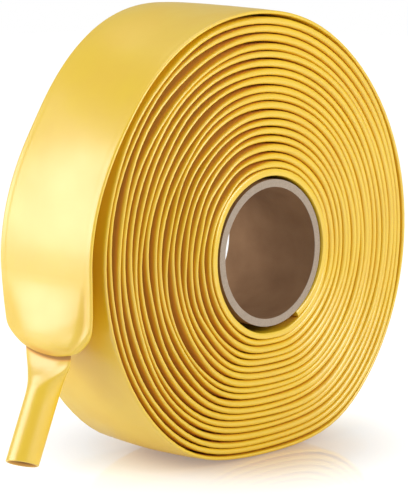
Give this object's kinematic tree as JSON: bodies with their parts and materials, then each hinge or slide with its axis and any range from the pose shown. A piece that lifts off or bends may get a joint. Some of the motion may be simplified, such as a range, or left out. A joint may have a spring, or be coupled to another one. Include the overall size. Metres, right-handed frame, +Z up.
{
  "type": "roll of lay-flat tubing",
  "caption": "Yellow lay-flat heat-shrink tubing wound flat on a cardboard core, standing on edge, with its loose shrunk end hanging free.",
  "frame": {"origin": "middle of the flat patch that the roll stands on, on the floor, half way across the roll's width", "axes": "+Z up; the roll's axis runs along Y at x = 0 and z = 0.1176, the front face looks along -Y, and the loose end hangs at -X"},
  "size_m": [0.29, 0.073, 0.2568],
  "materials": {
    "core_card": "matte",
    "tubing": "satin"
  },
  "bodies": {
    "roll": {"core_tube": "core_card", "wound_tubing": "tubing"},
    "outer_arc_1": {"outer_turn_1": "tubing"},
    "outer_arc_2": {"outer_turn_2": "tubing"},
    "outer_arc_3": {"outer_turn_3": "tubing"},
    "outer_arc_4": {"outer_turn_4": "tubing"},
    "pocket": {"hanging_pocket": "tubing"},
    "free_end": {"shrunk_end": "tubing"}
  },
  "joints": [
    {"name": "peel_1", "type": "hinge", "parent": "roll", "child": "outer_arc_1", "pos_m": [0.01455, 0, 0.25464], "axis": [0, 1, 0], "range_deg": [0, 20], "stiffness_Nm_per_rad": 0.2},
    {"name": "peel_2", "type": "hinge", "parent": "outer_arc_1", "child": "outer_arc_2", "pos_m": [-0.04365, 0, 0.25209], "axis": [0, 1, 0], "range_deg": [0, 20], "stiffness_Nm_per_rad": 0.2},
    {"name": "peel_3", "type": "hinge", "parent": "outer_arc_2", "child": "outer_arc_3", "pos_m": [-0.09504, 0, 0.22309], "axis": [0, 1, 0], "range_deg": [0, 20], "stiffness_Nm_per_rad": 0.2},
    {"name": "peel_4", "type": "hinge", "parent": "outer_arc_3", "child": "outer_arc_4", "pos_m": [-0.12982, 0, 0.17542], "axis": [0, 1, 0], "range_deg": [0, 20], "stiffness_Nm_per_rad": 0.2},
    {"name": "tail_swing", "type": "hinge", "parent": "outer_arc_4", "child": "pocket", "pos_m": [-0.14286, 0, 0.11757], "axis": [0, 1, 0], "range_deg": [-6, 30], "stiffness_Nm_per_rad": 0.3},
    {"name": "neck_bend", "type": "hinge", "parent": "pocket", "child": "free_end", "pos_m": [-0.14121, 0, 0.07367], "axis": [0, 1, 0], "range_deg": [-25, 40], "stiffness_Nm_per_rad": 0.2}
  ],
  "couplings": [
    {"joint": "peel_2", "follows": "peel_1", "ratio": 1},
    {"joint": "peel_3", "follows": "peel_1", "ratio": 1},
    {"joint": "peel_4", "follows": "peel_1", "ratio": 1}
  ]
}
